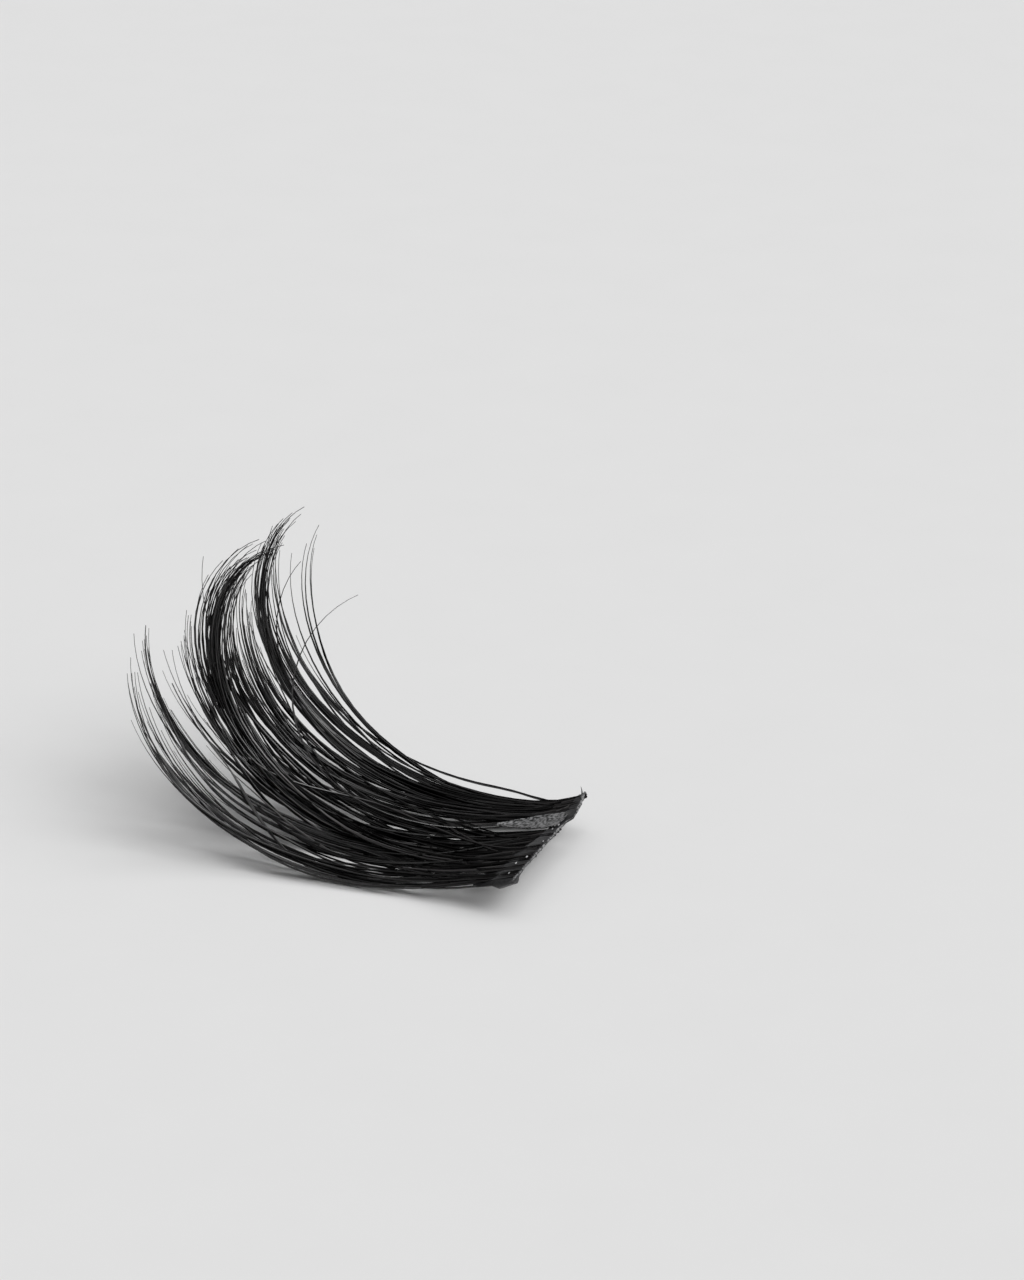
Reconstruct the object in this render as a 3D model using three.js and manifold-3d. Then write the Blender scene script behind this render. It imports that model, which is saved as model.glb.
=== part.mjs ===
// A false-lash cluster as it lies on a table, belly down: locks of black fibre that are fused side by side at
// their roots, curl up towards their tips, and are held by a narrow band of set adhesive.
// Millimetres, +Z up. The band runs along Y at the +X end, and the locks reach towards -X.
// The origin is on the table, below the middle of the cluster.

import * as THREE from "three";
import { mergeVertices } from "three/addons/utils/BufferGeometryUtils.js";
import Module from "manifold-3d";

const wasm = await Module();
wasm.setup();

// Driving dimensions, in millimetres and degrees.
const BAND_LENGTH = 5.1;
const BAND_DEPTH = 0.5;
const BAND_THICKNESS = 0.38;
const CUT_THICKNESS = 0.2; // the band's thickness at its cut edge, away from the locks
const BAND_CORNER = 0.1;
const BAND_NOSE = 0.2; // depth left at the far end, where the band tapers off
const BAND_TAPER = 1.1; // length of that taper
const FOOT_LENGTH = 0.36; // the thicker near end of the band, where its adhesive has run under
const FOOT_DROP = 0.1;
const PIECE_GAP = 0.04; // clearance between the pieces

// The curl that every lock shares. A lock leaves the band dipping by ROOT_PITCH, and at a distance s along it
// has turned up by ROOT_BEND * s + TIP_BEND * s^3.
const ROOT_PITCH = 21;
const ROOT_BEND = 6.6;
const TIP_BEND = 0.033;

// One row for each lock, from the near end of the band to the far end. root is its place along the band, splay
// its heading to the far side, length its own length along the curl, curl its share of the common curl, strands
// the number of points that it ends in, and base and body its widths at the band and further out.
const LOCKS = {
  near_edge: { root: -2.2, splay: -4, length: 11.2, curl: 0.96, strands: 3, base: 0.7, body: 0.4 },
  near_wisp: { root: -1.6, splay: -1, length: 10.9, curl: 0.93, strands: 4, base: 1.2, body: 1.0 },
  near_lock: { root: -0.7, splay: -3.5, length: 11.9, curl: 0.88, strands: 4, base: 1.6, body: 0.6 },
  low_wisp: { root: -0.3, splay: 6, length: 11.3, curl: 0.85, strands: 2, base: 1.2, body: 0.4 },
  side_wisp: { root: -0.2, splay: 0, length: 11.8, curl: 1.0, strands: 3, base: 1.2, body: 0.5 },
  main_lock: { root: -0.3, splay: 3.4, length: 13.4, curl: 1.075, strands: 5, base: 1.6, body: 0.7 },
  middle_lock: { root: 0.4, splay: 13, length: 10.6, curl: 1.05, strands: 3, base: 0.8, body: 0.8 },
  main_branch: { root: 2.0, splay: -9, length: 12.0, curl: 1.06, strands: 3, base: 0.7, body: 0.6 },
  cross_lock: { root: 2.1, splay: -3, length: 10.2, curl: 1.04, strands: 2, base: 0.7, body: 0.6 },
  tall_lock: { root: 2.15, splay: 4, length: 13.2, curl: 1.065, strands: 3, base: 0.8, body: 0.4 },
  tall_branch: { root: 2.25, splay: 12, length: 12.3, curl: 0.97, strands: 3, base: 0.6, body: 0.5 },
  far_edge: { root: 2.35, splay: 12.4, length: 12.1, curl: 1.14, strands: 2, base: 0.4, body: 0.4 },
};
const ROOT_THICKNESS = 0.36;
const BODY_THICKNESS = 0.3; // as a share of the lock's body width

// The strands of a lock start fused side by side, lean together over GATHER_REACH, and part towards their tips.
const BASE_OVERLAP = 1.6;
const BODY_OVERLAP = 1.1;
const GATHER_REACH = 8;
const STRAND_CURL = 0.04; // difference in curl between a lock's outer strands
const STRAND_STEP = 0.04; // a strand is shorter by none, one or two of these shares of its lock's length

// Where along a strand its width goes over from base to body, and where its size falls off to the tip.
const STRAND_TAPER = [
  { along: 0.0, body: 0.0, size: 1.0 },
  { along: 0.3, body: 0.4, size: 1.0 },
  { along: 0.55, body: 1.0, size: 0.86 },
  { along: 0.8, body: 1.0, size: 0.5 },
  { along: 1.0, body: 1.0, size: 0.1 },
];
const STRAND_SIDES = 6;
const STRAND_STEPS = 16;

// The film of adhesive that bridges the notch between two locks beside the band, and narrows to a point.
const WEB = { root: 1.2, splay: 2, length: 1.7, curl: 1, base: 0.95, body: 0.06 };
const WEB_THICKNESS = 0.08;
const WEB_TAPER = [
  { along: 0.0, body: 0.0, size: 1.0 },
  { along: 1.0, body: 1.0, size: 1.0 },
];
const WEB_SIDES = 4;
const WEB_STEPS = 4;

const radians = THREE.MathUtils.degToRad;
const degrees = THREE.MathUtils.radToDeg;
const lerp = THREE.MathUtils.lerp;

// The taper's values at a share of the way along.
function taperAt(taper, along) {
  const next = Math.max(1, taper.findIndex((row) => row.along >= along));
  const [before, after] = [taper[next - 1], taper[next]];
  const share = (along - before.along) / (after.along - before.along);
  return { body: lerp(before.body, after.body, share), size: lerp(before.size, after.size, share) };
}

// The angle above the table of a strand's own direction, at a distance along it.
function curlAngle(strand, distance) {
  return radians(strand.curl * (ROOT_BEND * distance + TIP_BEND * distance ** 3) - ROOT_PITCH);
}

// The strand's middle line, walked in equal steps: reach is the distance out from the band, rise the height.
function curlStations(strand, steps) {
  const step = strand.length / steps;
  const stations = [{ reach: 0, rise: 0, angle: curlAngle(strand, 0) }];
  for (let i = 0; i < steps; i++) {
    const middle = curlAngle(strand, (i + 0.5) * step);
    stations.push({
      reach: stations[i].reach + step * Math.cos(middle),
      rise: stations[i].rise + step * Math.sin(middle),
      angle: curlAngle(strand, (i + 1) * step),
    });
  }
  return stations;
}

// A closed strand: a capped cylinder laid along the curl, flattened and tapered. grow widens it all round.
function strandGeometry(strand, { taper, sides, steps, baseThickness, bodyThickness, grow = 0 }) {
  const geometry = new THREE.CylinderGeometry(1, 1, 1, sides, steps, false, Math.PI / sides);
  geometry.computeBoundingBox();
  const section = geometry.boundingBox.max.clone();
  const stations = curlStations(strand, steps);
  const turn = radians(strand.splay);
  const heading = new THREE.Vector3(-Math.cos(turn), Math.sin(turn), 0);
  const across = new THREE.Vector3(Math.sin(turn), Math.cos(turn), 0);
  const up = new THREE.Vector3(0, 0, 1);
  const position = geometry.getAttribute("position");
  for (let i = 0; i < position.count; i++) {
    const along = position.getY(i) + 0.5;
    const { reach, rise, angle } = stations[Math.round(along * steps)];
    const { body, size } = taperAt(taper, along);
    const halfWidth = (size * lerp(strand.base, strand.body, body)) / 2 + grow;
    const halfThickness = (size * lerp(baseThickness, bodyThickness, body)) / 2 + grow;
    const normal = up.clone().multiplyScalar(Math.cos(angle)).addScaledVector(heading, -Math.sin(angle));
    const point = new THREE.Vector3(0, strand.root, 0)
      .addScaledVector(heading, reach)
      .addScaledVector(up, rise)
      .addScaledVector(across, (position.getX(i) / section.x) * halfWidth)
      .addScaledVector(normal, (position.getZ(i) / section.z) * halfThickness);
    position.setXYZ(i, point.x, point.y, point.z);
  }
  return geometry;
}

// The strands of one lock, each with its own share of the lock's width, root, heading, length and curl.
function strandsOf(lock) {
  const base = (lock.base * BASE_OVERLAP) / lock.strands;
  const body = (lock.body * BODY_OVERLAP) / lock.strands;
  const sizes = {
    taper: STRAND_TAPER,
    sides: STRAND_SIDES,
    steps: STRAND_STEPS,
    baseThickness: ROOT_THICKNESS,
    bodyThickness: lock.body * BODY_THICKNESS,
  };
  return Array.from({ length: lock.strands }, (_, i) => {
    const side = i / (lock.strands - 1) - 0.5;
    const atBase = side * (lock.base - base);
    const atBody = side * (lock.body - body);
    const strand = {
      root: lock.root + atBase,
      splay: lock.splay + degrees(Math.atan((atBody - atBase) / GATHER_REACH)),
      length: lock.length * (1 - STRAND_STEP * ((2 * i) % 3)),
      curl: lock.curl + side * STRAND_CURL,
      base,
      body,
    };
    return strandGeometry(strand, sizes);
  });
}

function webGeometry(grow = 0) {
  const sizes = { taper: WEB_TAPER, sides: WEB_SIDES, steps: WEB_STEPS, grow };
  return strandGeometry(WEB, { ...sizes, baseThickness: WEB_THICKNESS, bodyThickness: WEB_THICKNESS });
}

// The band and its foot thin out towards the cut edge. They lie in the plane that the roots leave in, so both are
// tipped by the roots' pitch.
function wedged(geometry) {
  const position = geometry.getAttribute("position");
  for (let i = 0; i < position.count; i++) {
    const thinning = lerp(1, CUT_THICKNESS / BAND_THICKNESS, position.getX(i) / BAND_DEPTH);
    position.setZ(i, position.getZ(i) * thinning);
  }
  return geometry.rotateY(radians(-ROOT_PITCH));
}

// The band seen from above is straight along the locks, square at the near end and tapered at the far end.
function bandGeometry(grow = 0) {
  const inner = -grow;
  const outer = BAND_DEPTH + grow;
  const near = -BAND_LENGTH / 2 - grow;
  const far = BAND_LENGTH / 2 + grow;
  const outline = new THREE.Shape();
  outline.moveTo(inner, near);
  outline.lineTo(outer - BAND_CORNER, near);
  outline.absarc(outer - BAND_CORNER, near + BAND_CORNER, BAND_CORNER, -Math.PI / 2, 0);
  outline.lineTo(outer, far - BAND_TAPER);
  outline.lineTo(BAND_NOSE + grow, far);
  outline.lineTo(inner, far);
  outline.closePath();
  const depth = BAND_THICKNESS + 2 * grow;
  const strip = new THREE.ExtrudeGeometry(outline, { depth, bevelEnabled: false, curveSegments: 3 });
  return wedged(strip.translate(0, 0, -depth / 2));
}

function footGeometry() {
  const width = BAND_DEPTH - BAND_CORNER;
  const foot = new THREE.BoxGeometry(width, FOOT_LENGTH, FOOT_DROP * 2);
  const middle = -BAND_LENGTH / 2 + BAND_CORNER + FOOT_LENGTH / 2;
  return wedged(foot.translate(width / 2, middle, -BAND_THICKNESS / 2));
}

// A closed geometry as a solid that can be joined and cut.
function solidOf(geometry) {
  const bare = geometry.clone();
  bare.deleteAttribute("normal");
  bare.deleteAttribute("uv");
  const merged = mergeVertices(bare);
  return new wasm.Manifold(
    new wasm.Mesh({
      numProp: 3,
      vertProperties: new Float32Array(merged.getAttribute("position").array),
      triVerts: new Uint32Array(merged.index.array),
    }),
  );
}

// A finished solid as a named piece.
function pieceOf(name, solid, look) {
  const { vertProperties, triVerts } = solid.getMesh();
  const geometry = new THREE.BufferGeometry();
  geometry.setAttribute("position", new THREE.BufferAttribute(vertProperties, 3));
  geometry.setIndex(new THREE.BufferAttribute(triVerts, 1));
  geometry.computeVertexNormals();
  const piece = new THREE.Mesh(geometry, new THREE.MeshStandardMaterial({ ...look, metalness: 0 }));
  piece.name = name;
  return piece;
}

const bandRoom = solidOf(bandGeometry(PIECE_GAP));

function lashFan() {
  const strands = Object.values(LOCKS).flatMap(strandsOf).map(solidOf);
  const fused = strands.reduce((fan, strand) => fan.add(strand));
  const webRoom = solidOf(webGeometry(PIECE_GAP));
  return pieceOf("lash_fan", fused.subtract(bandRoom).subtract(webRoom), { color: 0x0c0b0c, roughness: 0.4 });
}

function rootBand() {
  const band = solidOf(bandGeometry()).add(solidOf(footGeometry()));
  return pieceOf("root_band", band, { color: 0x141416, roughness: 0.35 });
}

function bondWeb() {
  const film = solidOf(webGeometry()).subtract(bandRoom);
  return pieceOf("bond_web", film, { color: 0x5c5c5e, roughness: 0.6 });
}

const lying = new THREE.Group();
lying.add(lashFan(), rootBand(), bondWeb());

// The cluster is set down with its lowest point on the table and its middle over the origin.
const extent = new THREE.Box3().setFromObject(lying, true);
const middle = extent.getCenter(new THREE.Vector3());
lying.position.set(-middle.x, -middle.y, -extent.min.z);

const cluster = new THREE.Group();
cluster.name = "lash_cluster";
cluster.add(lying);

export default cluster;
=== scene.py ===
# %% [markdown]
# # A false-lash cluster, fibre by fibre
#
# A lash cluster is a small fan of black polyester fibres. Their roots are set side by side in a narrow strip
# of adhesive, and heat has curled them, so the loose ends rise in a long hook. This one lies on a pale table
# on its belly. The CAD frame already holds the fan as fused strands, the root band and a thin film of
# adhesive. Here each of them is rebuilt as what it is: some hundreds of single fibres, a lumpy glossy band
# and a grey film.

# %% Load the frame
import math

import bmesh
import bpy
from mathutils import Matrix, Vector, noise


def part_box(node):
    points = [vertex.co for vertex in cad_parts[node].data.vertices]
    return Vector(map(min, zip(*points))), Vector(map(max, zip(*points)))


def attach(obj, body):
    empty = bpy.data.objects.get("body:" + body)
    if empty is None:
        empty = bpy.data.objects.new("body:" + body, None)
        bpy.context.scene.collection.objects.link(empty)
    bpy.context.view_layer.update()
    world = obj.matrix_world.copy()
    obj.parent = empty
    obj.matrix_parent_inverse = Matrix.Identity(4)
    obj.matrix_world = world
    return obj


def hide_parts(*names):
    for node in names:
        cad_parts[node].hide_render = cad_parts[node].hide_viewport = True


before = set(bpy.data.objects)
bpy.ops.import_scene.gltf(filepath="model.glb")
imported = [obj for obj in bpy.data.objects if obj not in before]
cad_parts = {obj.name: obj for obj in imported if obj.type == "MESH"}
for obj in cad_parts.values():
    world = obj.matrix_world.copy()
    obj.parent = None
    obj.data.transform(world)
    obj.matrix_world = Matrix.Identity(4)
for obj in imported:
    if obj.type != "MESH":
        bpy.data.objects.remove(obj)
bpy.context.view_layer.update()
print("nodes:", sorted(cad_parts))

# %% [markdown]
# ## Where the roots are
#
# Every piece starts from the root line: the middle of the band's thickness, along its inner edge, where the
# fibres come out. The band is a wedge that is tipped by the roots' pitch, so its box gives that line with a
# little trigonometry: the inner edge is the lowest x, and the thin cut edge is the highest z.
# Lengths are written in millimetres, as a lash maker would, and become metres when a mesh is made.

# %% Find the root line
MM = 0.001
BAND_LENGTH = 5.1
BAND_DEPTH = 0.5
BAND_THICKNESS = 0.38
CUT_THICKNESS = 0.2
ROOT_PITCH = math.radians(21)

band_low, band_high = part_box("root_band")
root_middle = Vector((
    band_low.x + BAND_THICKNESS / 2 * MM * math.sin(ROOT_PITCH),
    (band_low.y + band_high.y) / 2,
    band_high.z - (BAND_DEPTH * math.sin(ROOT_PITCH) + CUT_THICKNESS / 2 * math.cos(ROOT_PITCH)) * MM,
))
print("root middle, mm:", [round(value / MM, 3) for value in root_middle])

# %% [markdown]
# ## The camera
#
# The picture is a close view through a long lens, from a little above and from the band's side. The camera
# is placed on the line of sight to the root line's middle, and then turned until that point falls on the
# pixel where the picture has it.

# %% Make the camera
PICTURE_SIZE = (1024, 1280)
FOCAL_PIXELS = 4815
SENSOR_HEIGHT = 36
VIEW_AZIMUTH = math.radians(22)
VIEW_ELEVATION = math.radians(24)
VIEW_DISTANCE = 107 * MM
ROOT_PIXEL = (539, 840)
CLIP_NEAR = 1 * MM
CLIP_FAR = 10

sight = Vector((
    math.sin(VIEW_AZIMUTH) * math.cos(VIEW_ELEVATION),
    -math.cos(VIEW_AZIMUTH) * math.cos(VIEW_ELEVATION),
    math.sin(VIEW_ELEVATION),
))
turn_down = math.atan((ROOT_PIXEL[1] - PICTURE_SIZE[1] / 2) / FOCAL_PIXELS)
turn_aside = math.atan((ROOT_PIXEL[0] - PICTURE_SIZE[0] / 2) / FOCAL_PIXELS) / math.cos(VIEW_ELEVATION)

camera_data = bpy.data.cameras.new("camera")
camera_data.sensor_fit = "VERTICAL"
camera_data.sensor_height = SENSOR_HEIGHT
camera_data.lens = FOCAL_PIXELS * SENSOR_HEIGHT / PICTURE_SIZE[1]
camera_data.clip_start = CLIP_NEAR
camera_data.clip_end = CLIP_FAR
camera = bpy.data.objects.new("camera", camera_data)
camera.location = root_middle + sight * VIEW_DISTANCE
camera.rotation_euler = (math.pi / 2 - VIEW_ELEVATION + turn_down, 0, VIEW_AZIMUTH + turn_aside)
bpy.context.scene.collection.objects.link(camera)
bpy.context.scene.camera = camera
print("lens, mm:", round(camera_data.lens, 1))

# %% [markdown]
# ## A bench for node trees
#
# Both the fibres and the finishes are node trees. A small helper keeps them readable: it adds one node, feeds
# each input with a number or with the output of a node made before, and hands back the node's outputs.


# %% Define the node bench
class NodeBench:
    """Adds nodes to one tree. A value is a number, a name, or the output of a node made before."""

    def __init__(self, tree):
        self.tree = tree

    def add(self, kind, *values, **settings):
        node = self.tree.nodes.new(kind)
        for name, value in settings.items():
            setattr(node, name, value)
        sockets = [socket for socket in node.inputs if socket.enabled]
        for socket, value in zip(sockets, values):
            self.feed(socket, value)
        return [socket for socket in node.outputs if socket.enabled]

    def feed(self, socket, value):
        if isinstance(value, bpy.types.NodeSocket):
            self.tree.links.new(value, socket)
        else:
            socket.default_value = value

    def math(self, operation, *values):
        return self.add("ShaderNodeMath", *values, operation=operation)[0]

    def even(self, value, start, end, before, after):
        """Goes evenly from before to after as value goes from start to end."""
        return self.add("ShaderNodeMapRange", value, start, end, before, after)[0]

    def smooth(self, value, start, end, before, after):
        """Goes smoothly from before to after as value goes from start to end."""
        return self.add(
            "ShaderNodeMapRange", value, start, end, before, after, interpolation_type="SMOOTHSTEP"
        )[0]


# %% [markdown]
# ## The finishes
#
# The fibres are polyester, dyed black right through and a little shiny. No two take the light alike, so each
# fibre carries a number of its own, from 0 to 1, that shifts its tone and its gloss. A high power of that
# number makes most of them deep black and very few of them paler. That paler colour is a painted highlight,
# which draws the fine light lines in the mat. An image of hair could do that too, but a number on each fibre
# follows it round every bend.

# %% Fibre finish
PAINTED_HIGHLIGHT_POWER = 8.0
DEEP_BLACK = (0.0028, 0.0025, 0.0026, 1)
PAINTED_HIGHLIGHT_GREY = (0.055, 0.051, 0.052, 1)
FIBRE_ROUGHNESS = (0.16, 0.30)
SHEEN_POWER = 2.0
FIBRE_SHEEN = (0.2, 1.0)


def new_finish(name):
    material = bpy.data.materials.new(name)
    material.use_nodes = True
    shader = material.node_tree.nodes["Principled BSDF"]
    return material, shader, NodeBench(material.node_tree)


def colour_between(bench, value, low, high):
    """A colour between low and high, by a value from 0 to 1."""
    return bench.add("ShaderNodeMix", value, low, high, data_type="RGBA")[0]


fibre_finish, shader, bench = new_finish("lash_fibre")
tint_and_highlight = bench.add("ShaderNodeAttribute", attribute_name="tint_and_highlight")[2]
# The paler colour of the few fibres with the highest numbers is a painted highlight.
painted_highlight = bench.math("POWER", tint_and_highlight, PAINTED_HIGHLIGHT_POWER)
bench.feed(shader.inputs["Base Color"], colour_between(bench, painted_highlight, DEEP_BLACK, PAINTED_HIGHLIGHT_GREY))
bench.feed(shader.inputs["Roughness"], bench.even(tint_and_highlight, 0.0, 1.0, *FIBRE_ROUGHNESS))
sheen = bench.even(bench.math("POWER", tint_and_highlight, SHEEN_POWER), 0.0, 1.0, *FIBRE_SHEEN)
bench.feed(shader.inputs["Specular IOR Level"], sheen)
print("made", fibre_finish.name)

# %% [markdown]
# The adhesive is a black lash glue that has set with a skin: glossy on the lumps and duller between them, and
# grey where it was cut: partly dust and partly a painted sheen. Two sizes of noise on the object's own
# coordinates give the patches and the fine orange-peel, and a number that the band's mesh carries says where
# the dust and painted sheen lie.

# %% Adhesive finish
PER_MM = 1 / MM
PATCH_SCALE = 2.2 * PER_MM
PATCH_DETAIL = 3.0
PATCH_RANGE = (0.3, 0.7)
PEEL_SCALE = 16 * PER_MM
PEEL_RANGE = (0.35, 0.65)
PEEL_STRENGTH = 0.35
FINE_DETAIL = 2.0
SET_BLACK = (0.004, 0.004, 0.0043, 1)
WORN_BLACK = (0.014, 0.014, 0.015, 1)
DUST_AND_SHEEN_GREY = (0.075, 0.075, 0.078, 1)
DUST_AND_SHEEN_SHARES = (0.3, 1.0)
ADHESIVE_ROUGHNESS = (0.26, 0.48)
ADHESIVE_SHEEN = 0.3
BUMP_DEPTH = 0.02 * MM
BUMP_FILTER = 0.1


def grain_of(bench, scale, detail):
    """Noise on the piece's own coordinates."""
    place = bench.add("ShaderNodeTexCoord")[3]
    return bench.add("ShaderNodeTexNoise", place, scale, detail)[0]


def roughen(bench, shader, height, strength):
    """A slight bump that follows a noise."""
    bump = bench.add("ShaderNodeBump", strength, BUMP_DEPTH, BUMP_FILTER, height)[0]
    bench.feed(shader.inputs["Normal"], bump)


adhesive_finish, shader, bench = new_finish("set_adhesive")
patches = grain_of(bench, PATCH_SCALE, PATCH_DETAIL)
peel = grain_of(bench, PEEL_SCALE, FINE_DETAIL)
dust_and_sheen = bench.add("ShaderNodeAttribute", attribute_name="dust_and_sheen")[2]
# Where the mesh says, the black turns grey: partly dust and partly a painted sheen.
dust_and_sheen_share = bench.math("MULTIPLY", dust_and_sheen, bench.even(peel, *PEEL_RANGE, *DUST_AND_SHEEN_SHARES))
clean = colour_between(bench, patches, SET_BLACK, WORN_BLACK)
bench.feed(shader.inputs["Base Color"], colour_between(bench, dust_and_sheen_share, clean, DUST_AND_SHEEN_GREY))
bench.feed(shader.inputs["Roughness"], bench.even(patches, *PATCH_RANGE, *ADHESIVE_ROUGHNESS))
shader.inputs["Specular IOR Level"].default_value = ADHESIVE_SHEEN
roughen(bench, shader, peel, PEEL_STRENGTH)
print("made", adhesive_finish.name)

# %% [markdown]
# Where the adhesive was drawn out thin it has dried to a dull grey skin with black specks. One fine noise
# does both jobs: a narrow range of it gives the specks their edges, and the same noise is the bump.

# %% Film finish
FILM_SCALE = 15 * PER_MM
SPECK_RANGE = (0.4, 0.62)
SPECK_BLACK = (0.004, 0.004, 0.004, 1)
FILM_GREY = (0.28, 0.28, 0.285, 1)
FILM_ROUGHNESS = 0.5
FILM_STRENGTH = 0.4

film_finish, shader, bench = new_finish("adhesive_film")
grain = grain_of(bench, FILM_SCALE, FINE_DETAIL)
speckle = bench.even(grain, *SPECK_RANGE, 0.0, 1.0)
bench.feed(shader.inputs["Base Color"], colour_between(bench, speckle, SPECK_BLACK, FILM_GREY))
shader.inputs["Roughness"].default_value = FILM_ROUGHNESS
roughen(bench, shader, grain, FILM_STRENGTH)
print("made", film_finish.name)

# %% [markdown]
# ## The table and the light
#
# The cluster lies on smooth pale card. A plane is enough for it, large enough to have no edge in any view,
# with a faint mottle, because a perfectly even card looks unreal this close.

# %% Make the table
TABLE_SIZE = 2.0
MOTTLE_SCALE = 0.4 * PER_MM
CARD_DARK = (0.79, 0.79, 0.79, 1)
CARD_PALE = (0.81, 0.81, 0.81, 1)
CARD_ROUGHNESS = 0.9
CARD_SHEEN = 0.1

bpy.ops.mesh.primitive_plane_add(size=TABLE_SIZE)
table = bpy.context.object
table.name = "table"
card_finish, shader, bench = new_finish("pale_card")
mottle = grain_of(bench, MOTTLE_SCALE, PATCH_DETAIL)
bench.feed(shader.inputs["Base Color"], colour_between(bench, mottle, CARD_DARK, CARD_PALE))
shader.inputs["Roughness"].default_value = CARD_ROUGHNESS
shader.inputs["Specular IOR Level"].default_value = CARD_SHEEN
table.data.materials.append(card_finish)
print("table:", TABLE_SIZE, "m")

# %% [markdown]
# The light is one softbox as wide as the ceiling. An area lamp could stand in for it, but a sun with a very
# wide disc lights the whole table evenly. A second, smaller sun is the bright middle of the softbox: it
# glints on the adhesive and gives the shadow its core. A third, weak one stands over the lash ends. It hardly
# lights the table, but it draws the thin highlights along the fibres near their roots.

# %% Make the light
SUNS = {
    # strength, then in degrees the width of the disc, the tilt off straight up and the side it comes from
    "softbox": (1.76, 80, 34, -35),
    "softbox_middle": (1.2, 30, 46, -45),
    "softbox_end": (0.13, 24, 20, 158),
}
ROOM_LIGHT = 0.17

for sun_name, (strength, disc, tilt, towards) in SUNS.items():
    light = bpy.data.lights.new(sun_name, "SUN")
    light.energy = strength
    light.angle = math.radians(disc)
    lamp = bpy.data.objects.new(sun_name, light)
    lamp.rotation_euler = (0, math.radians(tilt), VIEW_AZIMUTH + math.radians(towards))
    bpy.context.scene.collection.objects.link(lamp)

world = bpy.data.worlds.new("studio")
world.use_nodes = True
world.node_tree.nodes["Background"].inputs["Color"].default_value = (1, 1, 1, 1)
world.node_tree.nodes["Background"].inputs["Strength"].default_value = ROOM_LIGHT
bpy.context.scene.world = world
bpy.context.scene.view_settings.view_transform = "Standard"
print("suns:", list(SUNS))

# %% [markdown]
# ## One lock as a node tree
#
# A lock is a bundle of fibres that share a root, a heading and a curl. Hair particles or a sculpted curve
# system could make it, but a Geometry Nodes tree says the rule itself: start with one straight line, copy it
# for each fibre, give every copy its own numbers, and bend it by walking along the curl. The same tree then
# makes every lock of the fan, from one row of sizes each.

# %% The tree and its inputs
FIBRE_STEPS = 26
LASH_INPUTS = {
    "Fibres": "NodeSocketInt",
    "Strands": "NodeSocketInt",
    "Seed": "NodeSocketInt",
    "Root": "NodeSocketFloat",
    "Splay": "NodeSocketFloat",
    "Length": "NodeSocketFloat",
    "Curl": "NodeSocketFloat",
    "Weave": "NodeSocketFloat",
    "Base": "NodeSocketFloat",
    "Body": "NodeSocketFloat",
    "Tip": "NodeSocketFloat",
    "Trim": "NodeSocketFloat",
    "Stray": "NodeSocketFloat",
    "Finish": "NodeSocketMaterial",
}


def new_tree(name, inputs):
    """A tree with these inputs and one mesh as its output, its bench, and the inputs by name."""
    tree = bpy.data.node_groups.new(name, "GeometryNodeTree")
    for input_name, socket_kind in inputs.items():
        tree.interface.new_socket(input_name, in_out="INPUT", socket_type=socket_kind)
    tree.interface.new_socket("Geometry", in_out="OUTPUT", socket_type="NodeSocketGeometry")
    sockets = {socket.name: socket for socket in tree.nodes.new("NodeGroupInput").outputs}
    return tree, NodeBench(tree), sockets


lash_tree, bench, size = new_tree("lash_lock", LASH_INPUTS)
line = bench.add("GeometryNodeCurvePrimitiveLine", (0, 0, 0), (1, 0, 0))[0]
stations = bench.add("GeometryNodeResampleCurve", line, True, FIBRE_STEPS + 1)[0]
bundle, fibre = bench.add(
    "GeometryNodeDuplicateElements", stations, True, size["Fibres"], domain="SPLINE"
)
along = bench.add("GeometryNodeSplineParameter")[0]
print("fibre stations:", FIBRE_STEPS + 1)

# %% [markdown]
# Fibres stick together in thin strands, and the strands weave: each one has a place of its own at the band,
# in the lock's body and near the points, so they pass over each other and leave slits. A fibre first draws
# the strand that it belongs to, takes the strand's numbers and adds a little of its own. A few loose fibres
# add much more: raising a draw to a high power leaves most of them near zero.

# %% Strand and fibre numbers
STREAMS = 100
STRAND_WIDTH = 0.07
LOOSENESS = 10.0
LOOSE_POWER = 8.0
BASE_MIX = 0.7
POINT_SHARE = 0.8
POINT_CLOSE = 0.6
TIP_CLOSE = 0.3
TIP_MIX = 0.5

draws = iter(range(1, STREAMS))


def draw(low, high, owner=fibre):
    """A number between low and high for each fibre, or for each strand, from a stream of its own."""
    seed = bench.math("MULTIPLY_ADD", size["Seed"], float(STREAMS), float(next(draws)))
    return bench.add("FunctionNodeRandomValue", low, high, owner, seed, data_type="FLOAT")[0]


strand = bench.math("FLOOR", draw(0.0, size["Strands"]))
loose = bench.math("MULTIPLY_ADD", bench.math("POWER", draw(0.0, 1.0), LOOSE_POWER), LOOSENESS, 1.0)

base_place = bench.math("MULTIPLY", draw(-0.5, 0.5, strand), 1.0 - BASE_MIX)
base_place = bench.math("MULTIPLY_ADD", draw(-0.5, 0.5), BASE_MIX, base_place)
at_base = bench.math("MULTIPLY", size["Base"], base_place)
in_strand = bench.math("MULTIPLY", bench.math("MULTIPLY", loose, STRAND_WIDTH), draw(-0.5, 0.5))
at_body = bench.math("MULTIPLY_ADD", size["Body"], draw(-0.5, 0.5, strand), in_strand)
point_width = bench.math("MULTIPLY", size["Body"], POINT_SHARE)
point_place = bench.math("MULTIPLY", point_width, draw(-0.5, 0.5, strand))
at_point = bench.math("MULTIPLY_ADD", in_strand, POINT_CLOSE, point_place)
tip_place = bench.math("MULTIPLY", draw(-0.5, 0.5, strand), 1.0 - TIP_MIX)
tip_place = bench.math("MULTIPLY_ADD", draw(-0.5, 0.5), TIP_MIX, tip_place)
at_tip = bench.math("MULTIPLY_ADD", in_strand, TIP_CLOSE, point_place)
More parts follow.
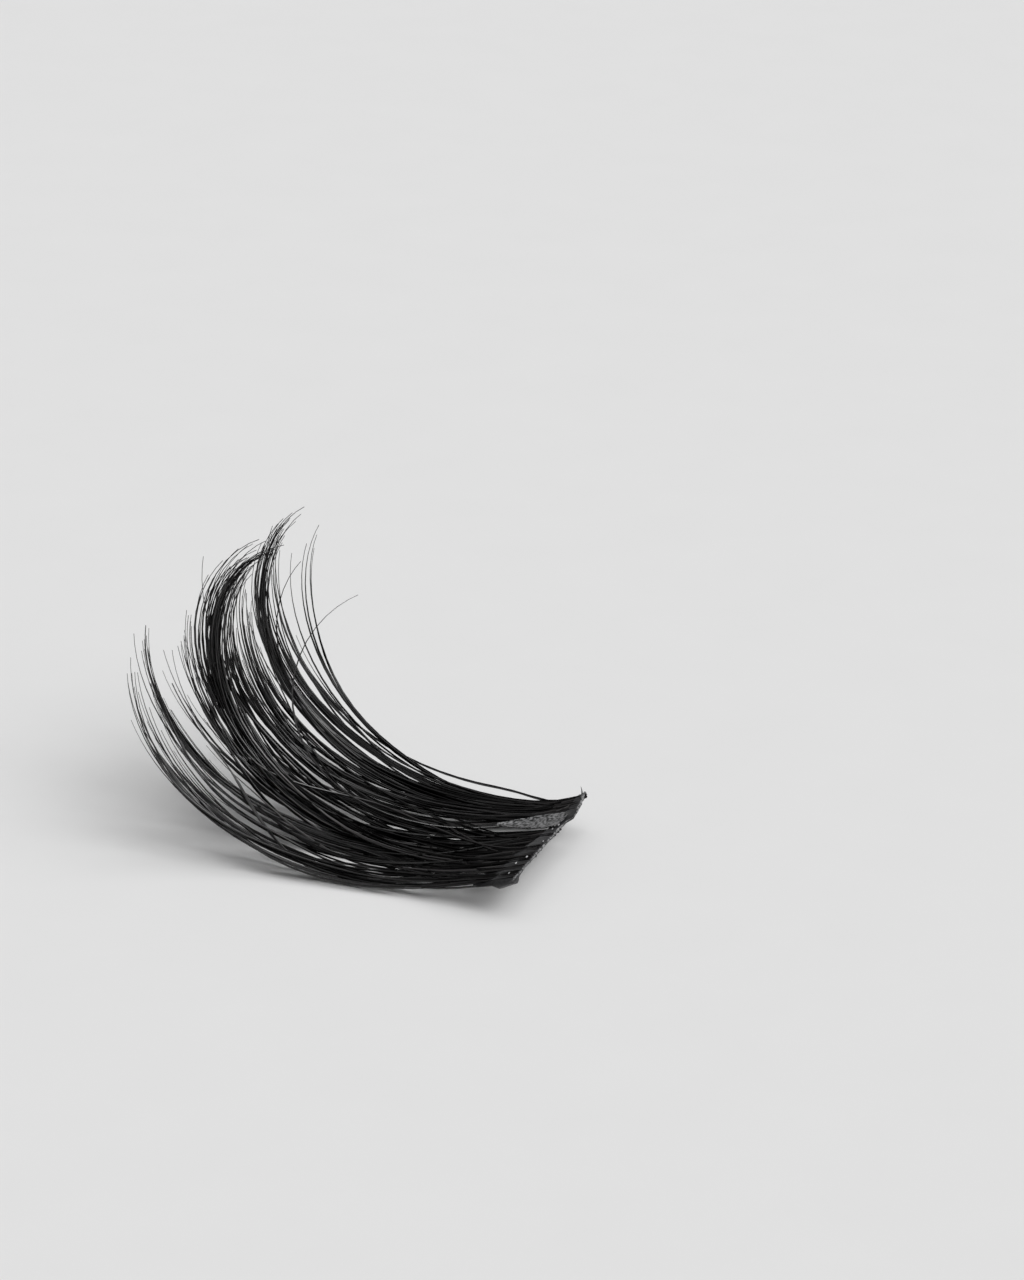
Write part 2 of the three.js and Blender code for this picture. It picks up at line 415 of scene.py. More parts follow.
at_tip = bench.math("MULTIPLY_ADD", size["Tip"], tip_place, at_tip)
print("places across the lock: base, body, point, tip")

# %% [markdown]
# No two lashes end at the same height. A strand is shorter than its lock by a draw of its own, and a fibre
# by a little more, squared so that most of them stay near the strand's length. The curl differs in the same
# way: from strand to strand by the lock's weave, and from fibre to fibre by how loose it is.

# %% Length and curl
STRAND_TRIM = 0.6
TRIM_POWER = 2.0

strand_trim = draw(0.0, STRAND_TRIM, strand)
own_trim = bench.math("POWER", draw(0.0, 1.0), TRIM_POWER)
trim = bench.math("MULTIPLY", size["Trim"], bench.math("ADD", strand_trim, own_trim))
length = bench.math("MULTIPLY", size["Length"], bench.math("SUBTRACT", 1.0, trim))
strand_curl = bench.math("MULTIPLY_ADD", size["Weave"], draw(-1.0, 1.0, strand), size["Curl"])
own_curl = bench.math("MULTIPLY", bench.math("MULTIPLY", size["Stray"], loose), draw(-1.0, 1.0))
curl = bench.math("ADD", strand_curl, own_curl)
print("nodes so far:", len(lash_tree.nodes))

# %% [markdown]
# Now the curl. A fibre leaves the band dipping towards the table and turns up more and more, by its distance
# and by the cube of it. Its direction at each station is known, so its place is the sum of all the steps
# before: Accumulate Field adds them up, fibre by fibre. The stations lie closer together towards the tip,
# where the bend is tightest, and the first ones lie inside the band.

# %% Walk along the curl
ROOT_BEND = 6.6
TIP_BEND = 0.033
STATION_POWER = 1.2
CUT_AT_MIDDLE = 0.29
CUT_SLANT = 0.05

root_place = bench.math("ADD", size["Root"], at_base)
start = bench.math("MULTIPLY_ADD", root_place, -CUT_SLANT, CUT_AT_MIDDLE)


def distance_at(share):
    """Distance from the root line at a share of the stations."""
    left = bench.math("POWER", bench.math("SUBTRACT", 1.0, share), STATION_POWER)
    whole = bench.math("ADD", length, start)
    gone_by = bench.math("MULTIPLY", whole, bench.math("SUBTRACT", 1.0, left))
    return bench.math("SUBTRACT", gone_by, start)


def angle_at(distance):
    """Angle above the table at a distance from the band."""
    beyond = bench.math("MAXIMUM", distance, 0.0)
    even_bend = bench.math("MULTIPLY", beyond, ROOT_BEND)
    bend = bench.math("MULTIPLY_ADD", bench.math("POWER", beyond, 3.0), TIP_BEND, even_bend)
    turned = bench.math("RADIANS", bench.math("MULTIPLY", bend, curl))
    return bench.math("SUBTRACT", turned, ROOT_PITCH)


distance = distance_at(along)
before = distance_at(bench.math("MAXIMUM", bench.math("SUBTRACT", along, 1 / FIBRE_STEPS), 0.0))
step = bench.math("SUBTRACT", distance, before)
step_angle = angle_at(bench.math("MULTIPLY", bench.math("ADD", distance, before), 0.5))
step_out = bench.math("MULTIPLY", step, bench.math("COSINE", step_angle))
step_up = bench.math("MULTIPLY", step, bench.math("SINE", step_angle))
walk = bench.add("ShaderNodeCombineXYZ", step_out, 0.0, step_up)[0]
walked = bench.add(
    "GeometryNodeAccumulateField", walk, fibre, data_type="FLOAT_VECTOR", domain="POINT"
)[0]
walked_out, _, walked_up = bench.add("ShaderNodeSeparateXYZ", walked)
reach = bench.math("MULTIPLY_ADD", start, -math.cos(ROOT_PITCH), walked_out)
rise = bench.math("MULTIPLY_ADD", start, math.sin(ROOT_PITCH), walked_up)
print("nodes so far:", len(lash_tree.nodes))

# %% [markdown]
# A fibre isn't only bent, it also drifts across the lock: from its place at the root to its place in the
# strand, and near the end out to its own tip. Strands gather at different distances, and those at the far
# end of the band part from each other sooner, so each strand draws where its gathering ends.

# %% Drift across the lock
FAR_BLEND = 1.0
FAR_START = 1.6
GATHER_NEAR = 0.42
GATHER_FAR = 0.3
GATHER_SHARES = (0.7, 1.25)
POINT_AT = 0.88
FAN_AT = 0.7

gone = bench.math("MAXIMUM", bench.math("DIVIDE", distance, length), 0.0)
gather_at = bench.smooth(size["Root"], FAR_BLEND, FAR_START, GATHER_NEAR, GATHER_FAR)
gather = bench.math("MULTIPLY", gather_at, draw(*GATHER_SHARES, strand))


def along_fibre(at_root, in_body, near_point, at_end):
    """Goes over from the root's value to the body's, the point's and the tip's."""
    value = bench.smooth(gone, 0.0, gather, at_root, in_body)
    value = bench.smooth(gone, gather, POINT_AT, value, near_point)
    return bench.smooth(gone, FAN_AT, 1.0, value, at_end)


drift = along_fibre(at_base, at_body, at_point, at_tip)
print("nodes so far:", len(lash_tree.nodes))

# %% [markdown]
# It has a layer in the mat too, above or below the middle of its lock, so fibres pass over and under each
# other. The layers are pressed together at the cut edge, and the band's far end lifts its roots a little.
# A slight wave, with a length of the strand's own and a height of the fibre's, keeps the fibres from lying
# as evenly as combed wire.

# %% Layers in the mat
FAR_END = 2.55
FAR_LIFT = 0.08
LIFT_REACH = 0.9
MAT_HALF = 0.08
MAT_TILT = 0.03
BODY_THICKNESS = 0.45
STRAND_HALF = 0.03
CUT_SHARE = 0.25
PRESSED_REACH = 1.0
WAVE_HEIGHT = 0.05
WAVE_RATES = (0.7, 1.5)
WAVE_PHASES = (0.0, 6.3)
WAVE_START = 0.1
WAVE_FULL = 0.5

lock_depth = bench.math("MULTIPLY", size["Body"], BODY_THICKNESS)
in_layer = draw(-STRAND_HALF, STRAND_HALF)
body_layer = bench.math("MULTIPLY_ADD", lock_depth, draw(-0.5, 0.5, strand), in_layer)
strand_layer = bench.math("MULTIPLY", lock_depth, draw(-0.5, 0.5, strand))
point_layer = bench.math("MULTIPLY_ADD", in_layer, POINT_CLOSE, strand_layer)
tip_layer = bench.math("MULTIPLY_ADD", in_layer, TIP_CLOSE, strand_layer)
root_layer = bench.math("MULTIPLY_ADD", root_place, -MAT_TILT, draw(-MAT_HALF, MAT_HALF))
layer = along_fibre(root_layer, body_layer, point_layer, tip_layer)
pressed = bench.smooth(distance, -CUT_AT_MIDDLE, PRESSED_REACH, CUT_SHARE, 1.0)
layer = bench.math("MULTIPLY", layer, pressed)
lift = bench.smooth(root_place, FAR_START, FAR_END, 0.0, FAR_LIFT)
layer = bench.math("MULTIPLY_ADD", lift, bench.smooth(distance, 0.0, LIFT_REACH, 1.0, 0.0), layer)
wave_rate = draw(*WAVE_RATES, strand)
wave_phase = draw(*WAVE_PHASES, strand)
wave = bench.math("SINE", bench.math("MULTIPLY_ADD", distance, wave_rate, wave_phase))
wave_growth = bench.smooth(gone, WAVE_START, WAVE_FULL, 0.0, 1.0)
wave_height = bench.math("MULTIPLY", draw(0.0, WAVE_HEIGHT), wave_growth)
layer = bench.math("MULTIPLY_ADD", wave, wave_height, layer)
print("nodes so far:", len(lash_tree.nodes))

# %% [markdown]
# Reach, rise, drift and layer together give the place of every station. The layer is set off square to the
# curl, the heading turns the whole lock about its root, and a fibre that would pass through the table is
# laid on it instead, as the weight of the cluster does.

# %% Set the places
TABLE_GAP = 0.035

here = angle_at(distance)
out = bench.math("SUBTRACT", reach, bench.math("MULTIPLY", layer, bench.math("SINE", here)))
up = bench.math("MULTIPLY_ADD", layer, bench.math("COSINE", here), rise)
up = bench.math("MAXIMUM", up, TABLE_GAP - root_middle.z / MM)
turn_cos = bench.math("COSINE", size["Splay"])
turn_sin = bench.math("SINE", size["Splay"])
drift_x = bench.math("MULTIPLY", drift, turn_sin)
drift_y = bench.math("MULTIPLY", drift, turn_cos)
x = bench.math("SUBTRACT", drift_x, bench.math("MULTIPLY", out, turn_cos))
y = bench.math("ADD", drift_y, bench.math("MULTIPLY", out, turn_sin))
fibre_place = bench.add("ShaderNodeCombineXYZ", x, bench.math("ADD", y, size["Root"]), up)[0]
print("nodes so far:", len(lash_tree.nodes))

# %% [markdown]
# The last part gives the fibres a body. A fibre keeps its thickness for most of its length and then tapers
# to a fine point. A three-sided section, shaded smooth, is enough at this size. The tone number is stored for
# the finish, and the whole lock goes from millimetres to its place in the frame.

# %% Thickness, finish and output
FIBRE_RADIUS = 0.03
FIBRE_SIDES = 3
THIN_SHARE = 0.85
THICK_SHARE = 1.12
TAPER_AT = 0.65
TIP_SHARE = 0.25

taper = bench.smooth(gone, TAPER_AT, 1.0, 1.0, TIP_SHARE)
own_radius = draw(THIN_SHARE * FIBRE_RADIUS, THICK_SHARE * FIBRE_RADIUS)
tapered_radius = bench.math("MULTIPLY", taper, own_radius)
sized = bench.add("GeometryNodeSetCurveRadius", bundle, True, tapered_radius)[0]
toned = bench.add(
    "GeometryNodeStoreNamedAttribute", sized, True, "tint_and_highlight", draw(0.0, 1.0), data_type="FLOAT", domain="POINT"
)[0]
placed = bench.add("GeometryNodeSetPosition", toned, True, fibre_place)[0]
section = bench.add("GeometryNodeCurvePrimitiveCircle", FIBRE_SIDES, 1.0)[0]
radius_here = bench.add("GeometryNodeInputRadius")[0]
swept = bench.add("GeometryNodeCurveToMesh", placed, section, radius_here, True)[0]
moved = bench.add("GeometryNodeTransform", swept, root_middle, (0, 0, 0), (MM, MM, MM))[0]
shaded = bench.add("GeometryNodeSetShadeSmooth", moved, True, True)[0]
realized = bench.add("GeometryNodeRealizeInstances", shaded)[0]
finished = bench.add("GeometryNodeSetMaterial", realized, True, size["Finish"])[0]
bench.add("NodeGroupOutput", finished)
print("nodes in the tree:", len(lash_tree.nodes))

# %% [markdown]
# ## From a tree to a piece
#
# A tree does its work in a modifier. Its inputs are set by the sockets' identifiers, Blender evaluates the
# object, and the result is kept as a plain mesh, so the piece no longer depends on the tree. The piece is
# then hung on the body that it rides on, and the solid of the frame that it stands for is hidden.


# %% Grow and settle
def grow(name, tree, inputs):
    """Runs a node tree with these inputs and keeps the result as a plain mesh."""
    piece = bpy.data.objects.new(name, bpy.data.meshes.new(name))
    bpy.context.scene.collection.objects.link(piece)
    modifier = piece.modifiers.new("tree", "NODES")
    modifier.node_group = tree
    sockets = [item for item in tree.interface.items_tree if item.in_out == "INPUT"]
    identifiers = {item.name: item.identifier for item in sockets}
    for input_name, value in inputs.items():
        modifier[identifiers[input_name]] = value
    evaluated = piece.evaluated_get(bpy.context.evaluated_depsgraph_get())
    mesh = bpy.data.meshes.new_from_object(evaluated)
    piece.modifiers.remove(modifier)
    piece.data = mesh
    return piece


def settle(piece, node):
    """Hangs a finished piece on its body and hides the solid that it stands for."""
    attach(piece, "root")
    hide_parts(node)
    print(piece.name, len(piece.data.polygons), "faces")


# %% [markdown]
# ## The locks of the fan
#
# Each row is one lock, from the near end of the band to the far end: where its root is, how far it heads to
# the far side in degrees, how long it is, its share of the common curl and how much the strands differ from
# it, how many strands and fibres it has, and its widths at the band, in the body and at the tips. The last
# three rows are short loose fibres that fill the mat.

# %% Make the locks
LOCK_COLUMNS = ("root", "splay", "length", "curl", "weave", "strands", "fibres", "base", "body", "tip")
LOCKS = {
    "near_edge": (-2.2, -3, 11.5, 0.954, 0.015, 7, 13, 0.5, 0.45, 0.4),
    "near_wisp": (-1.7, -1, 11.2, 0.935, 0.03, 10, 15, 1.6, 0.9, 0.6),
    "near_lock": (-0.4, -4, 12.2, 0.877, 0.012, 10, 26, 2.0, 0.45, 0.5),
    "low_wisp": (0.1, 4, 11.5, 0.85, 0.06, 10, 14, 1.8, 0.8, 0.4),
    "side_wisp": (0.3, -4, 12.0, 1.00, 0.025, 8, 13, 1.4, 0.6, 0.6),
    "main_lock": (-0.3, 3.4, 13.7, 1.075, 0.016, 20, 54, 1.9, 1.0, 1.0),
    "middle_lock": (0.35, 9, 11.0, 1.03, 0.04, 9, 13, 0.7, 1.2, 0.6),
    "main_branch": (2.1, -8, 12.2, 1.06, 0.025, 8, 19, 0.7, 1.1, 0.8),
    "cross_lock": (2.05, -4, 10.4, 1.04, 0.05, 6, 7, 0.7, 1.2, 0.6),
    "tall_lock": (2.2, 4, 13.4, 1.065, 0.018, 12, 44, 0.6, 0.6, 0.4),
    "tall_branch": (2.3, 12, 12.4, 0.975, 0.025, 6, 13, 0.5, 0.8, 0.5),
    "tall_loose": (1.95, -1, 11.0, 1.11, 0.04, 4, 5, 0.4, 0.5, 0.4),
    "far_edge": (2.44, 12.4, 11.9, 1.13, 0.015, 4, 5, 0.15, 0.25, 0.3),
    "loose_near": (-1.4, -2, 9.6, 0.94, 0.04, 10, 12, 2.2, 1.4, 0.5),
    "loose_middle": (-0.3, 4, 9.8, 1.03, 0.06, 14, 14, 1.9, 2.0, 0.7),
    "loose_far": (2.2, 12, 9.4, 0.99, 0.03, 4, 5, 0.5, 0.6, 0.5),
}
COUNTS = ("strands", "fibres")
LOCK_TRIM = 0.16
STRAY_CURL = 0.007
FIRST_LOCK_SEED = 1


def grow_lock(name, row, seed, trim, stray):
    sizes = {"Seed": seed, "Trim": trim, "Stray": stray, "Finish": fibre_finish}
    for column, value in zip(LOCK_COLUMNS, row):
        sizes[column.capitalize()] = value if column in COUNTS else float(value)
    sizes["Splay"] = math.radians(sizes["Splay"])
    settle(grow(name, lash_tree, sizes), "lash_fan")


for lock_seed, (lock_name, lock_row) in enumerate(LOCKS.items(), start=FIRST_LOCK_SEED):
    grow_lock(lock_name, lock_row, lock_seed, LOCK_TRIM, STRAY_CURL)

# %% [markdown]
# A few single fibres have sprung out of their locks. They are rows of the same kind, one to three fibres
# each, with no trim and no strand to hold them.

# %% Make the stray fibres
STRAYS = {
    "stray_far": (2.0, -34, 11.2, 1.51, 0, 1, 1, 0.1, 0.1, 0),
    "stray_tall": (2.4, -7, 11.1, 1.28, 0, 1, 1, 0.1, 0.1, 0),
    "stray_low": (-1.1, 8, 11.9, 1.17, 0.02, 3, 3, 0.4, 0.3, 0.3),
    "stray_high": (1.8, 4.7, 12.5, 0.83, 0, 1, 1, 0.1, 0.1, 0),
    "stray_side": (0.2, -2.6, 12.6, 1.03, 0, 1, 1, 0.1, 0.1, 0),
    "stray_near": (0.5, -3, 10.2, 0.83, 0.03, 2, 2, 0.6, 0.3, 0.2),
}
FIRST_STRAY_SEED = 41

for stray_seed, (stray_name, stray_row) in enumerate(STRAYS.items(), start=FIRST_STRAY_SEED):
    grow_lock(stray_name, stray_row, stray_seed, 0.0, 0.0)

# %% [markdown]
# ## The root band
#
# The band is a strip of black lash adhesive that was pressed flat and cut off behind the roots. A modelled
# and sculpted block could be worked over until it looks right, but a lofted skin says the shape in a short
# table. It lies on the same curl as the fibres, so the first helper turns a distance from the roots, a place
# along the band and a height into a point on that curled sheet.

# %% Places on the curled sheet
SHEET_BEND = math.radians(ROOT_BEND)


def on_sheet(distance, across, layer):
    """The point, in metres, at a distance from the root line, a place along it and a height."""
    angle = SHEET_BEND * max(distance, 0) - ROOT_PITCH
    if distance < 0:
        out = distance * math.cos(ROOT_PITCH)
        up = -distance * math.sin(ROOT_PITCH)
    else:
        out = (math.sin(angle) + math.sin(ROOT_PITCH)) / SHEET_BEND
        up = (math.cos(ROOT_PITCH) - math.cos(angle)) / SHEET_BEND
    place = Vector((layer * math.sin(angle) - out, across, up + layer * math.cos(angle)))
    return root_middle + place * MM


near_end = on_sheet(0, -BAND_LENGTH / 2, 0)
print("near end of the root line, mm:", [round(value / MM, 2) for value in near_end])

# %% [markdown]
# Two more helpers serve the band, its rim and the film. One reads a table at any place between its rows, and
# eases from row to row. The other sews rings of points into a closed skin whose faces point outwards.


# %% Tables and skins
def within(share):
    """A share that is kept between 0 and 1."""
    return min(max(share, 0), 1)


def eased(share):
    """A share between 0 and 1 that starts and ends gently."""
    share = within(share)
    return share * share * (3 - 2 * share)


def blend(rows, value):
    """The columns of a table of rows at a value of its first column, eased between the rows."""
    for low, high in zip(rows, rows[1:]):
        if value <= high[0]:
            share = eased((value - low[0]) / (high[0] - low[0]))
            return [a + (b - a) * share for a, b in zip(low[1:], high[1:])]
    return list(rows[-1][1:])


def skin(name, rings, finish):
    """A closed mesh through rings of points, with a fan at both ends."""
    count = len(rings[0])
    points = [point for ring in rings for point in ring]
    faces = []
    for ring in range(len(rings) - 1):
        for step in range(count):
            first = ring * count + step
            second = ring * count + (step + 1) % count
            faces.append((first, second, second + count, first + count))
    for ring in (0, len(rings) - 1):
        middle = len(points)
        points.append(sum(rings[ring], Vector()) / count)
        for step in range(count):
            faces.append((ring * count + step, ring * count + (step + 1) % count, middle))
    mesh = bpy.data.meshes.new(name)
    mesh.from_pydata(points, [], faces)
    shell = bmesh.new()
    shell.from_mesh(mesh)
    bmesh.ops.recalc_face_normals(shell, faces=shell.faces)
    shell.to_mesh(mesh)
    shell.free()
    mesh.shade_smooth()
    mesh.materials.append(finish)
    piece = bpy.data.objects.new(name, mesh)
    bpy.context.scene.collection.objects.link(piece)
    return piece


# %% [markdown]
# The adhesive is thin at the cut edge, thicker over the root line, and it has soaked forward between the
# fibres, far at the near end and hardly at all in the gap. At the near corner it has run down into a foot.
# Each row of the table is one place along the band. Noise then gives it lumps, and ridges along the fibres
# where they press through.

# %% Shape of the adhesive
BAND_ROWS = (
    # along the band, cut edge behind the roots, soak in front of the roots, half thickness, foot below, dust
    # and painted sheen
    (-2.55, 0.44, 0.5, 0.05, 0.06, 0.3),
    (-2.35, 0.43, 0.6, 0.07, 0.12, 0.2),
    (-2.1, 0.42, 0.6, 0.065, 0.02, 0.2),
    (-1.6, 0.39, 0.6, 0.06, 0.0, 0.2),
    (-0.6, 0.35, 0.35, 0.055, 0.0, 0.5),
    (0.1, 0.32, 0.15, 0.05, 0.0, 1.0),
    (0.6, 0.29, 0.05, 0.04, 0.0, 1.0),
    (0.9, 0.30, 0.02, 0.04, 0.0, 0.1),
    (1.15, 0.39, 0.02, 0.05, 0.0, 0.0),
    (1.45, 0.33, 0.03, 0.035, 0.0, 0.0),
    (1.8, 0.26, 0.03, 0.02, 0.0, 0.5),
    (2.55, 0.14, 0.03, 0.015, 0.0, 1.0),
)
CUT_HALF = 0.025
CUT_UNEVEN = 0.015
CUT_SCALE = 5
CUT_SEED = 3
FRONT_HALF = 0.01
FRONT_POWER = 1.7
LUMP_HEIGHT = 0.015
LUMP_SCALE = 3
RIDGE_HEIGHT = 0.03
RIDGE_STRETCH = 0.5
RIDGE_SCALE = 13
RIDGE_START = 0.3
RIDGE_SEED = 9


def glue_half(distance, cut, soak, thick):
    """Half the adhesive's thickness at a distance from the root line."""
    if distance < 0:
        return CUT_HALF + (thick - CUT_HALF) * (1 + distance / cut)
    return thick + (FRONT_HALF - thick) * (distance / soak) ** FRONT_POWER


def roughness(distance, across, seed):
    """Lumps everywhere, and ridges along the fibres that grow towards the front."""
    lump = noise.noise(Vector((distance * LUMP_SCALE, across * LUMP_SCALE, seed)))
    ridge = noise.noise(Vector((distance * RIDGE_STRETCH, across * RIDGE_SCALE, seed + RIDGE_SEED)))
    return LUMP_HEIGHT * lump + RIDGE_HEIGHT * ridge * within(distance + RIDGE_START)


def cut_edge(across):
    """How far behind the root line the band is cut, a little unevenly."""
    return blend(BAND_ROWS, across)[0] + CUT_UNEVEN * noise.noise(Vector((across * CUT_SCALE, 0, CUT_SEED)))


def far_lift(across):
    """How far the band's far end has curled up."""
    return FAR_LIFT * eased((across - FAR_START) / (FAR_END - FAR_START))


print("cut edge at the middle, mm:", round(cut_edge(0), 3))

# %% [markdown]
# Now the skin itself: one closed section for each place along the band, the top from the cut edge to the
# front and the bottom back again. The ends are rounded off, and the front is drawn out into small fingers.
# The amount of dust and painted sheen goes into the mesh for the finish to read.

# %% Make the root band
BAND_RINGS = 130
BAND_COLUMNS = 16
END_ROUND = 0.08
END_SHARE = 0.1
FINGER_SHARE = 0.4
FINGER_SCALE = 7
FINGER_SEED = 17
FOOT_REACH = 0.1
DUST_AND_SHEEN_REACH = 0.4
TOP_SEED = 1
BOTTOM_SEED = 5
BOTTOM_SHARE = 0.5

band_rings = []
band_dust_and_sheen = []
for ring_index in range(BAND_RINGS + 1):
    share = ring_index / BAND_RINGS
    across = BAND_LENGTH * (share - 0.5)
    cut = cut_edge(across)
    _, soak, thick, foot, dust_and_sheen = blend(BAND_ROWS, across)
    soak *= 1 + FINGER_SHARE * noise.noise(Vector((across * FINGER_SCALE, 0, FINGER_SEED)))
    inside = min(min(share, 1 - share) * BAND_LENGTH / END_ROUND, 1)
    rounding = END_SHARE + (1 - END_SHARE) * math.sqrt(1 - (1 - inside) ** 2)
    middle = far_lift(across)
    top = []
    bottom = []
    dust_and_sheen_here = []
    for column in range(BAND_COLUMNS + 1):
        distance = -cut + (cut + soak) * column / BAND_COLUMNS
        half = glue_half(distance, cut, soak, thick) * rounding
        foot_drop = foot * within(1 - distance / FOOT_REACH)
        over = middle + half + roughness(distance, across, TOP_SEED)
        under = middle - half - foot_drop + BOTTOM_SHARE * roughness(distance, across, BOTTOM_SEED)
        top.append(on_sheet(distance, across, over))
        bottom.append(on_sheet(distance, across, under))
        dust_and_sheen_here.append(dust_and_sheen * within(1 - distance / DUST_AND_SHEEN_REACH))
    band_rings.append(top + bottom[::-1])
    band_dust_and_sheen += dust_and_sheen_here + dust_and_sheen_here[::-1]
band = skin("root_band_adhesive", band_rings, adhesive_finish)
# This number marks grey that is partly dust and partly a painted sheen.
dust_and_sheen_layer = band.data.attributes.new("dust_and_sheen", "FLOAT", "POINT")
for point_index, value in enumerate(band_dust_and_sheen):
    dust_and_sheen_layer.data[point_index].value = value
settle(band, "root_band")

# %% [markdown]
# Where the blade went through, the adhesive is thin and shows a paler rim. A slim uneven roll along the cut
# edge is enough for it.

# %% Make the cut rim
RIM_ROWS = (
    # along the band, radius
    (-2.55, 0.016),
    (0.6, 0.018),
    (0.85, 0.004),
    (1.45, 0.004),
    (1.7, 0.03),
    (2.55, 0.035),
)
RIM_RINGS = 160
RIM_SIDES = 8
RIM_INSET = 0.06
RIM_UNEVEN = 0.8
RIM_SCALE = 6
RIM_SEED = 11
RIM_LIFT = 0.01
RIM_TALL = 1.3

rim_rings = []
for ring_index in range(RIM_RINGS + 1):
    across = (BAND_LENGTH - RIM_INSET) * (ring_index / RIM_RINGS - 0.5)
    cut = cut_edge(across)
    swelling = 1 + RIM_UNEVEN * noise.noise(Vector((across * RIM_SCALE, 0, RIM_SEED)))
    radius = blend(RIM_ROWS, across)[0] * swelling
    ring = []
    for side_index in range(RIM_SIDES):
        angle = 2 * math.pi * side_index / RIM_SIDES
        height = far_lift(across) + RIM_LIFT + RIM_TALL * radius * math.sin(angle)
        ring.append(on_sheet(-cut + radius * math.cos(angle), across, height))
    rim_rings.append(ring)
settle(skin("cut_rim", rim_rings, film_finish), "root_band")

# %% [markdown]
# ## The film
#
# In the gap between the two groups of fibres the adhesive has drawn out into a thin grey film, pointed like a
# leaf. It is a skin too, with its rings along the fibres. It sags between its edges, and it is crinkled.

# %% Make the film
FILM_ROWS = (
    # from the root line, lower edge, upper edge
    (-0.22, 0.52, 1.25),
    (0.0, 0.55, 1.42),
    (0.5, 0.70, 1.50),
    (1.0, 0.90, 1.42),
    (1.55, 1.12, 1.22),
)
FILM_RINGS = 60
FILM_COLUMNS = 14
FILM_HALF = 0.015
FILM_LIFT = 0.08
FILM_SAG = 0.03
CRINKLE = 0.02
CRINKLE_ALONG = 5
CRINKLE_ACROSS = 7
CRINKLE_SEED = 2

film_start = FILM_ROWS[0][0]
film_end = FILM_ROWS[-1][0]
film_rings = []
for ring_index in range(FILM_RINGS + 1):
    distance = film_start + (film_end - film_start) * ring_index / FILM_RINGS
    lower, upper = blend(FILM_ROWS, distance)
    top = []
    bottom = []
    for column in range(FILM_COLUMNS + 1):
        share = column / FILM_COLUMNS
        across = lower + (upper - lower) * share
        crease = noise.noise(Vector((distance * CRINKLE_ALONG, across * CRINKLE_ACROSS, CRINKLE_SEED)))
        height = FILM_LIFT - FILM_SAG * math.sin(math.pi * share) + CRINKLE * crease
        top.append(on_sheet(distance, across, height + FILM_HALF))
        bottom.append(on_sheet(distance, across, height - FILM_HALF))
    film_rings.append(top + bottom[::-1])
settle(skin("adhesive_film", film_rings, film_finish), "bond_web")

# %% [markdown]
# ## Crumbs and a stub
#
# Small lumps of adhesive sit along the cut edge, and their pale colour is a painted glint. They repeat, so a
# second tree scatters them: points along a line, each moved a little and given a flattened ball of its own
# size.

# %% Painted glint finish and crumb tree
CRUMB_SCALE = 30 * PER_MM
GLINT_CRUMB_DARK = (0.25, 0.25, 0.26, 1)
PAINTED_GLINT_PALE = (0.75, 0.75, 0.76, 1)
CRUMB_ROUGHNESS = 0.4
CRUMB_INPUTS = {
    "Near": "NodeSocketVector",
    "Far": "NodeSocketVector",
    "Count": "NodeSocketInt",
    "Radius": "NodeSocketFloat",
    "Finish": "NodeSocketMaterial",
}
NUDGE_LOW = (-0.14 * MM, -0.35 * MM, -0.02 * MM)
NUDGE_HIGH = (0.06 * MM, 0.35 * MM, 0.02 * MM)
NUDGE_SEED = 5
SMALLEST = (0.15, 0.2, 0.15)
LARGEST = (0.9, 1.6, 0.5)
SCALE_SEED = 8

glint_crumb_finish, shader, bench = new_finish("painted_glint_crumb")
grain = grain_of(bench, CRUMB_SCALE, FINE_DETAIL)
# The pale colour of these lumps is a painted glint.
bench.feed(shader.inputs["Base Color"], colour_between(bench, grain, GLINT_CRUMB_DARK, PAINTED_GLINT_PALE))
shader.inputs["Roughness"].default_value = CRUMB_ROUGHNESS

crumb_tree, bench, size = new_tree("painted_glint_crumbs", CRUMB_INPUTS)
index = bench.add("GeometryNodeInputIndex")[0]


def vector_draw(low, high, seed):
    """A vector between low and high for each crumb."""
    return bench.add("FunctionNodeRandomValue", low, high, index, seed, data_type="FLOAT_VECTOR")[0]


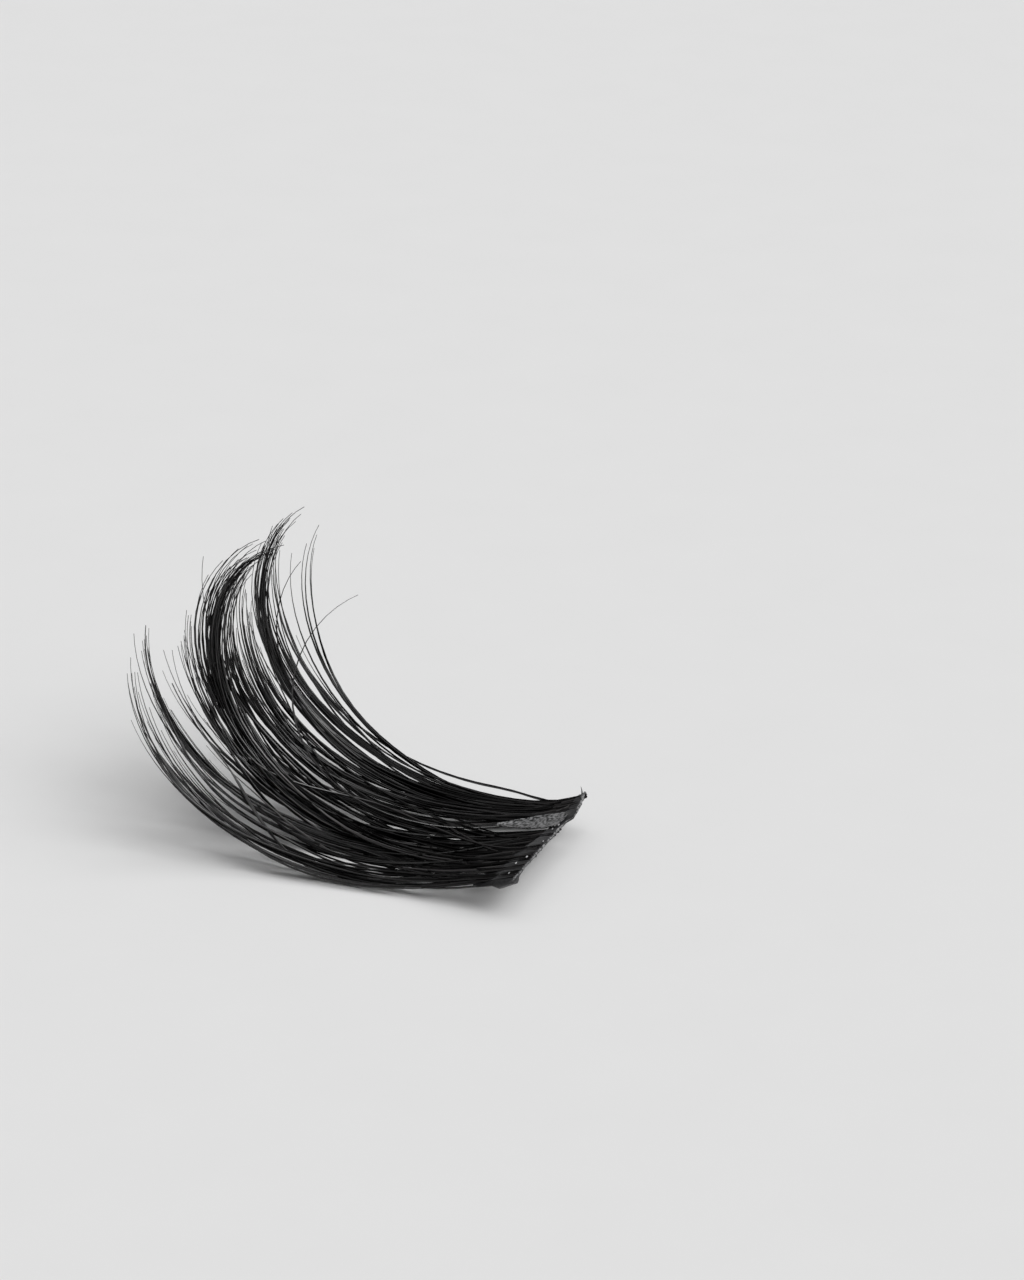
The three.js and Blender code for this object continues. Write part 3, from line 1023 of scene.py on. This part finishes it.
edge = bench.add("GeometryNodeCurvePrimitiveLine", size["Near"], size["Far"])[0]
spots = bench.add("GeometryNodeCurveToPoints", edge, size["Count"])[0]
spot = bench.add("GeometryNodeInputPosition")[0]
nudge = vector_draw(NUDGE_LOW, NUDGE_HIGH, NUDGE_SEED)
moved = bench.add("GeometryNodeSetPosition", spots, True, spot, nudge)[0]
ball = bench.add("GeometryNodeMeshIcoSphere", size["Radius"], 1)[0]
ball = bench.add("GeometryNodeSetShadeSmooth", ball, True, True)[0]
scale = vector_draw(SMALLEST, LARGEST, SCALE_SEED)
crumbs = bench.add("GeometryNodeInstanceOnPoints", moved, True, ball, False, 0, (0, 0, 0), scale)[0]
realized = bench.add("GeometryNodeRealizeInstances", crumbs)[0]
finished = bench.add("GeometryNodeSetMaterial", realized, True, size["Finish"])[0]
bench.add("NodeGroupOutput", finished)
print("nodes in the tree:", len(crumb_tree.nodes))

# %% [markdown]
# The line runs just inside the cut edge, from the near corner to the middle of the band, and a little above
# the adhesive, so the crumbs sit on it.

# %% Make the crumbs
CRUMB_COUNT = 8
CRUMB_RADIUS = 0.04
CRUMB_HEIGHT = 0.05
NEAR_CRUMB = (-0.33, -2.3, CRUMB_HEIGHT)
FAR_CRUMB = (-0.22, 0.5, CRUMB_HEIGHT)

crumb_inputs = {
    "Near": on_sheet(*NEAR_CRUMB),
    "Far": on_sheet(*FAR_CRUMB),
    "Count": CRUMB_COUNT,
    "Radius": CRUMB_RADIUS * MM,
    "Finish": glint_crumb_finish,
}
settle(grow("painted_glint_crumbs", crumb_tree, crumb_inputs), "root_band")

# %% [markdown]
# At the far corner the end of one fibre sticks up out of the adhesive. It is a small tapered skin that leans
# a little towards the lashes.

# %% Make the corner stub
STUB_PLACE = (-0.08, 2.5, 0.02 + FAR_LIFT)
STUB_HEIGHT = 0.17
STUB_LEAN = 0.03
STUB_RADIUS = 0.02
STUB_TAPER = 0.75
STUB_RINGS = 6
STUB_SIDES = 6

stub_foot = on_sheet(*STUB_PLACE)
stub_rings = []
for ring_index in range(STUB_RINGS + 1):
    share = ring_index / STUB_RINGS
    lean = Vector((-STUB_LEAN * share * share, 0, STUB_HEIGHT * share)) * MM
    radius = STUB_RADIUS * (1 - STUB_TAPER * share) * MM
    ring = []
    for side_index in range(STUB_SIDES):
        angle = 2 * math.pi * side_index / STUB_SIDES
        ring.append(stub_foot + lean + Vector((math.cos(angle), math.sin(angle), 0)) * radius)
    stub_rings.append(ring)
settle(skin("corner_stub", stub_rings, adhesive_finish), "lash_fan")
